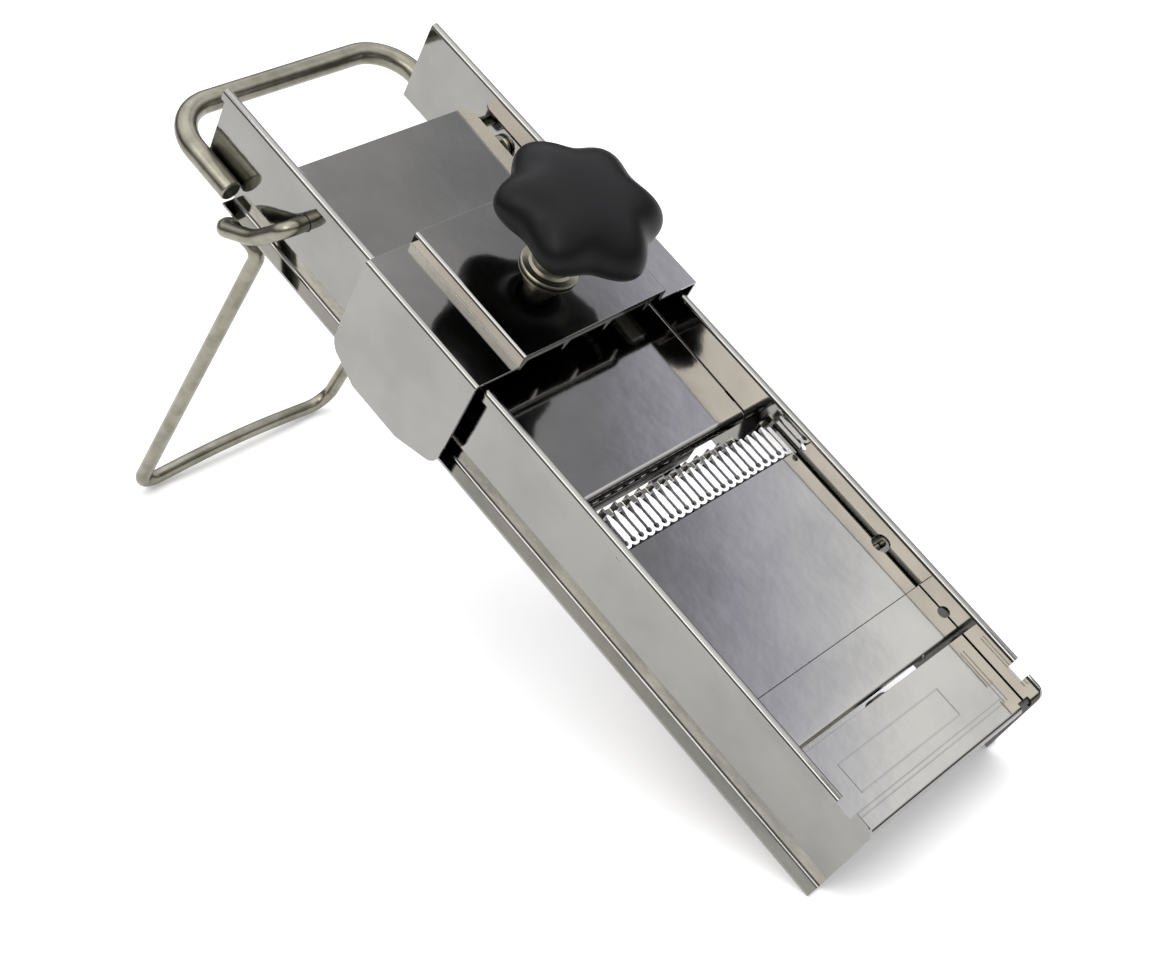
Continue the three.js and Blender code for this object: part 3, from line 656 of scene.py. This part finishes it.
# ---- Thickness adjusters ---------------------------------------------------------------------------
def make_adjusters():
    """throw and rest place the lift bar about its shaft, lever and lean place the lever's tip."""
    for word, (y, z, r), throw, rest, lever, lean in (("upper", UPPER_SHAFT, 10, 13, 30, 250),
                                                      ("front", FRONT_SHAFT, 8, 63, 22, 300)):
        bore = r + 0.3
        a = math.radians(rest)
        bar_y = y + throw * math.cos(a)
        bar_z = z + throw * math.sin(a)
        bar = rod(f"{word}_lift_crank", 2, -40, 40, bar_y, bar_z)
        outline = (arc(y, z, 4.1, rest + 90, rest + 270, 10)
                   + arc(bar_y, bar_z, 1.95, rest - 90, rest + 90, 6))
        arms = []
        for x in (-38, 38):
            arm = drawn("arm", at_x(x - 1.5, outline), (3, 0, 0))
            cut(arm, drill_x(bore, x - 3, x + 3, y, z))
            soften(arm, 0.25)
            arms.append(arm)
        joined(bar, *arms)
        settle(bar, f"{word}_lift_bar")
        b = math.radians(lean)
        tip_y = y + lever * math.cos(b)
        tip_z = z + lever * math.sin(b)
        plate = arc(y, z, 4.1, lean + 90, lean + 270, 10) + arc(tip_y, tip_z, 3, lean - 90, lean + 90, 6)
        thumb = drawn(f"{word}_thumb_lever", at_x(23.5, plate), (3, 0, 0))
        cut(thumb, drill_x(bore, 20, 30, y, z))
        soften(thumb, 0.3)
        settle(thumb, f"{word}_adjust_lever")
        near = lever - 7
        far = lever + 1.5
        pad = (arc(y + near * math.cos(b), z + near * math.sin(b), 5, lean + 90, lean + 270, 10)
               + arc(y + far * math.cos(b), z + far * math.sin(b), 5, lean - 90, lean + 90, 10))
        pocket = arc(y, z, 4.4, lean + 90, lean + 270, 8) + arc(tip_y, tip_z, 3.3, lean - 90, lean + 90, 6)
        grip = drawn(f"{word}_lever_thumb_pad", at_x(20, pad), (10, 0, 0))
        soften(grip, 1.4, 4)
        cut(grip, drawn("pocket", at_x(23.2, pocket), (3.6, 0, 0)))
        settle(grip, f"{word}_lever_grip", smooth=50)


# ---- Julienne comb ----------------------------------------------------------------------------------
def make_comb():
    pin_y, pin_z, r = COMB_PIN
    outline = arc(pin_y, pin_z, 5, 90, 270, 10) + [(161, 9), (161, 15), (150, 22)]
    arm = drawn("comb_swing_frame", at_x(50, outline), (2.4, 0, 0))
    cut(arm, drill_x(r + 0.3, 45, 55, pin_y, pin_z))
    soften(arm, 0.3)
    other = mirrored(arm, "comb_arm")
    bar = box("comb_bar", -50, 50, 156, 161, 9, 13)
    soften(bar, 0.4)
    tab = box("comb_tab", -9, 9, 156.5, 159.5, -7, 12)
    soften(tab, 0.8, 3)
    joined(arm, other, bar, tab)
    settle(arm, "comb_carrier")
    side = 46
    low = 13.3
    root = 20.5
    tip = 24.3
    pitch = 7
    teeth = [(side, low), (side, root)]
    for x in range(6 * pitch, -7 * pitch, -pitch):
        teeth += [(x + 1, root), (x + 0.5, tip), (x - 0.5, tip), (x - 1, root)]
    teeth += [(-side, root), (-side, low)]
    comb = drawn("julienne_comb_teeth", at_y(157, teeth), (0, 3, 0))
    soften(comb, 0.12, 1)
    settle(comb, "julienne_comb")


# ---- Carriage ---------------------------------------------------------------------------------------
COVER_FRONT = 217.5
COVER_BACK = 285.0
KNOB_Y = 248.0
AXIS = Vector((0, KNOB_Y, 0))
SKIRT_LOW = -9.0
SKIRT_CORNER = 22.0


def make_cover():
    half = ([(63.4, SKIRT_LOW)] + arc(62.2, 47.2, 1.2, 0, 90, 5) + arc(41.3, 49.3, 0.9, 270, 180, 4)
            + arc(39.5, 53.5, 0.9, 0, 90, 5))
    cover = drawn("carriage_cover_sheet", at_y(COVER_FRONT, half + flipped(half)),
                  (0, COVER_BACK - COVER_FRONT, 0), closed=False)
    sheet(cover)
    setback = SKIRT_CORNER * 0.42
    corner_z = SKIRT_LOW + SKIRT_CORNER * 0.62
    side = ([(COVER_FRONT - 1, 56), (COVER_FRONT, SKIRT_LOW + SKIRT_CORNER)]
            + arc(COVER_FRONT + setback, corner_z, 9, 170, 235, 6)
            + [(COVER_FRONT + SKIRT_CORNER, SKIRT_LOW), (COVER_BACK - SKIRT_CORNER * 0.8, SKIRT_LOW)]
            + arc(COVER_BACK - setback, corner_z, 9, 305, 370, 6)
            + [(COVER_BACK, SKIRT_LOW + SKIRT_CORNER), (COVER_BACK + 1, 56)])
    cut(cover, drawn("side_outline", at_x(-66, side), (132, 0, 0)), operation="INTERSECT")
    cut(cover, drill_z(8.3, 50, 60, 0, KNOB_Y))
    soften(cover, 0.2)
    settle(cover, "carriage_cover")


def make_glides():
    glide = box("right_rail_glide", 51, 60.5, 221.5, 281, 45.3, 47.5)
    soften(glide, 0.5)
    runner = box("right_flange_runner", 58, 62.5, 239.5, 263, -4.5, -0.3)
    soften(runner, 0.8, 3)
    for piece, other, node in ((glide, mirrored(glide, "left_rail_glide"), "top_glide"),
                               (runner, mirrored(runner, "left_flange_runner"), "under_runner")):
        settle(piece, f"right_{node}")
        settle(other, f"left_{node}")


# ---- Pusher: knob, shaft, presser and prongs --------------------------------------------------------
KNOB_LOBES = 6
LOBE_DEPTH = 0.17
KNOB_SIDES = 48


def make_knob():
    """A ring drawn up and scaled into a mushroom, then drawn in between the lobes to leave them."""
    bore_and_foot = [(6.4, 91), (6.4, 71), (10.6, 71), (12, 71.6)]
    head = [(13, 74), (16, 77.4), (25, 79), (31.5, 81), (35, 84.5), (35.8, 88), (34.6, 92), (31, 96),
            (25.5, 99.2), (19, 101.3)]
    crown = [(12, 102.5), (5, 102.9), (1.2, 103)]
    knob = turned("knob_moulding", AXIS, OUT, bore_and_foot + head + crown, KNOB_SIDES)
    lobe = 360 / KNOB_LOBES
    step_turn = 360 / KNOB_SIDES
    edit(knob)
    for radius, height in head:
        reach = min(max((radius - 11) / 19, 0), 1)
        depth = LOBE_DEPTH * reach * reach * (3 - 2 * reach)
        for step in range(4):
            def in_step(at):
                turn = math.degrees(math.atan2(at.y - KNOB_Y, at.x)) % lobe
                return abs(at.z - height) < 0.01 and abs(min(turn, lobe - turn) - step_turn * step) < 1
            pick(knob, "verts", in_step)
            keep = 1 - depth * (1 + math.cos(math.radians(KNOB_LOBES * step_turn * step))) / 2
            bpy.ops.transform.resize(value=(keep, keep, 1), center_override=AXIS + OUT * height)
    leave()
    modify(knob, "SUBSURF", levels=2, render_levels=2)
    settle(knob, "star_knob", smooth=80)


def make_pusher_shaft():
    shaft = turned("pusher_spindle", AXIS, OUT,
                   [(3.4, 44.5), (4, 45), (4, 51.8), (6, 51.8), (6, 52.2), (6, 90), (5, 90.7)], 40)
    settle(shaft, "pusher_shaft")
    bush = [(6.3, 52.1), (8, 52.1), (8, 55.3), (12, 55.3), (12.5, 55.7), (12.5, 56.5), (12.1, 56.9),
            (9.6, 57.3), (8.7, 58.4), (8.6, 62.6), (8.2, 63.6), (7.4, 63.9), (6.3, 63.9), (6.3, 52.1)]
    sleeve = turned("guide_bush", AXIS, OUT, bush, 40)
    settle(sleeve, "guide_sleeve")
    for name, node, r, low, high, bore in (("guide_bush_nut", "guide_sleeve_nut", 12.5, 52.1, 53.5, 8.3),
                                           ("spindle_nut", "shaft_nut", 7.5, 46.1, 49.7, 4.3)):
        nut = turned(name, AXIS, OUT, [(r, low), (r, high)], 6)
        cut(nut, drill_z(bore, low - 1, high + 1, 0, KNOB_Y))
        soften(nut, 0.3)
        settle(nut, node)


def make_presser():
    plate = box("presser_sheet", -38, 38, 218.6, 281, 50, 51.5)
    cut(plate, drill_z(4.3, 48, 53, 0, KNOB_Y))
    soften(plate, 0.3)
    settle(plate, "presser_plate")
    side = 38
    root = 47.7
    tip = 42
    thick = 1.5
    outline = [(side, 49.7), (-side, 49.7), (-side, root)]
    for x in (-36, -12, 12, 36):
        outline += [(x - 1.6, root), (x - 0.5, tip), (x + 0.5, tip), (x + 1.6, root)]
    outline += [(side, root)]
    for word, y in (("front", 219), ("rear", 279)):
        strip = drawn(f"{word}_prong_row", at_y(y, outline), (0, thick, 0))
        edit(strip)
        pick(strip, "verts", lambda at: at.z < tip + 1)
        bpy.ops.transform.resize(value=(1, 0.3, 1), center_override=(0, y + thick / 2, tip))
        leave()
        soften(strip, 0.1, 1)
        settle(strip, f"{word}_prong_strip")


# ---- Folding stand ------------------------------------------------------------------------------------
WIRE_R = 3.45
LEG_X = 59.5
FOOT_Y = 358.0


def make_stand():
    """From the hole in one web the wire hooks out round the flange, then down the leg to the foot bar."""
    foot_z = -FOOT_Y * math.tan(tilt) + 3.5 / math.cos(tilt)
    half = [(-50.5, STAND_PIVOT_Y, STAND_PIVOT_Z, 0), (-65.4, STAND_PIVOT_Y, STAND_PIVOT_Z, 6),
            (-66.9, 336.5, 8.6, 26), (-66.9, 353.2, -3.2, 4.2), (-60.5, 357.4, -4.6, 3.5),
            (-LEG_X, 337.6, -4.6, 5), (-LEG_X, FOOT_Y, foot_z, 11)]
    other = [(-x, y, z, bend) for x, y, z, bend in reversed(half)]
    middle = [(0, FOOT_Y, foot_z + 6, 300)]
    wire = bent_rod("stand_bent_wire", half + middle + other, WIRE_R, sides=24, steps=10)
    soften(wire, 0.6, 2, 60)
    settle(wire, "stand_wire")
    washer = turned("stand_washer_right", (52.9, STAND_PIVOT_Y, STAND_PIVOT_Z), ACROSS,
                    [(3.8, 0), (5.7, 0), (6, 0.3), (6, 1.3), (5.7, 1.6), (3.8, 1.6), (3.8, 0)], 32)
    left = mirrored(washer, "stand_washer_left")
    settle(washer, "stand_collar_right")
    settle(left, "stand_collar_left")


# ---- Studio ----------------------------------------------------------------------------------
def studio():
    bpy.ops.object.select_all(action="DESELECT")
    bpy.ops.mesh.primitive_plane_add(size=12, location=(0, 0, 0))
    floor = bpy.context.object
    floor.name = "floor"
    material, tree, shader = new_material("pale_matt_floor", "#f4f4f3", 0, 0.9)
    place = add_node(tree, "ShaderNodeTexCoord")
    drift = add_node(tree, "ShaderNodeTexNoise", {"Scale": 3.0, "Detail": 2.0}, Vector=(place, "Object"))
    tint = add_node(tree, "ShaderNodeValToRGB", Fac=(drift, "Fac"))
    set_ramp(tint, (0.3, "#f2f2f1"), (0.7, "#f7f7f6"))
    tree.links.new(tint.outputs["Color"], shader.inputs["Base Color"])
    # The floor is a light table: it glows a little, which lifts the shadows on it.
    shader.inputs["Emission Color"].default_value = srgb("#ffffff")
    shader.inputs["Emission Strength"].default_value = 0.2
    floor.data.materials.append(material)
    world = bpy.data.worlds.new("studio")
    bpy.context.scene.world = world
    world.use_nodes = True
    tree = world.node_tree
    # A dim room with a pale band of reflector all round, darker again towards the ceiling.
    place = add_node(tree, "ShaderNodeTexCoord")
    height = add_node(tree, "ShaderNodeSeparateXYZ", Vector=(place, "Generated"))
    walls = add_node(tree, "ShaderNodeValToRGB", Fac=(height, "Z"))
    set_ramp(walls, (0.0, "#232325"), (0.3, "#525254"), (0.6, "#e0e0e2"), (0.664, "#ffffff"),
             (0.692, "#d6d6df"), (0.702, "#cecfdb"), (0.722, "#b2b1c1"), (0.747, "#828289"),
             (0.765, "#86868b"), (0.788, "#9a9a9c"), (1.0, "#9a9a9c"))
    background = tree.nodes["Background"]
    tree.links.new(walls.outputs["Color"], background.inputs["Color"])
    background.inputs["Strength"].default_value = 2.15
    for name, where, long, high, lean, power, color in (
            ("left_strip_softbox", (-1.65, -0.44, 1.78), 1.7, 0.34, tilt, 9, "#fff6ec"),
            ("upper_strip_softbox", (-1.65, -0.5, 2.24), 1.7, 0.26, tilt, 3.6, "#f6f6f4"),
            ("top_softbox", (-0.1, 0.3, 2.6), 3.4, 3.4, 0, 46, "#ffffff")):
        data = bpy.data.lights.new(name, "AREA")
        data.shape = "RECTANGLE"
        data.size = long
        data.size_y = high
        data.energy = power
        data.color = srgb(color)[:3]
        light = bpy.data.objects.new(name, data)
        facing = (Vector((0, 0, 0.1)) - Vector(where)).normalized()
        if lean:
            side = (Vector((0, math.cos(lean), math.sin(lean))).cross(facing)).normalized()
            rotation = Matrix((side.cross(-facing), side, -facing)).transposed()
            light.matrix_world = Matrix.Translation(where) @ rotation.to_4x4()
        else:
            light.matrix_world = Matrix.Translation(where)
        bpy.context.scene.collection.objects.link(light)
    bpy.context.scene.view_settings.view_transform = "Standard"


make_camera()
make_rails()
make_handle()
make_bed()
make_straight_blade()
make_crinkle_blade()
make_clamps()
make_upper_ramp()
make_front_ramp()
make_lugs()
make_rods()
make_adjusters()
make_comb()
make_cover()
make_glides()
make_knob()
make_pusher_shaft()
make_presser()
make_stand()
studio()
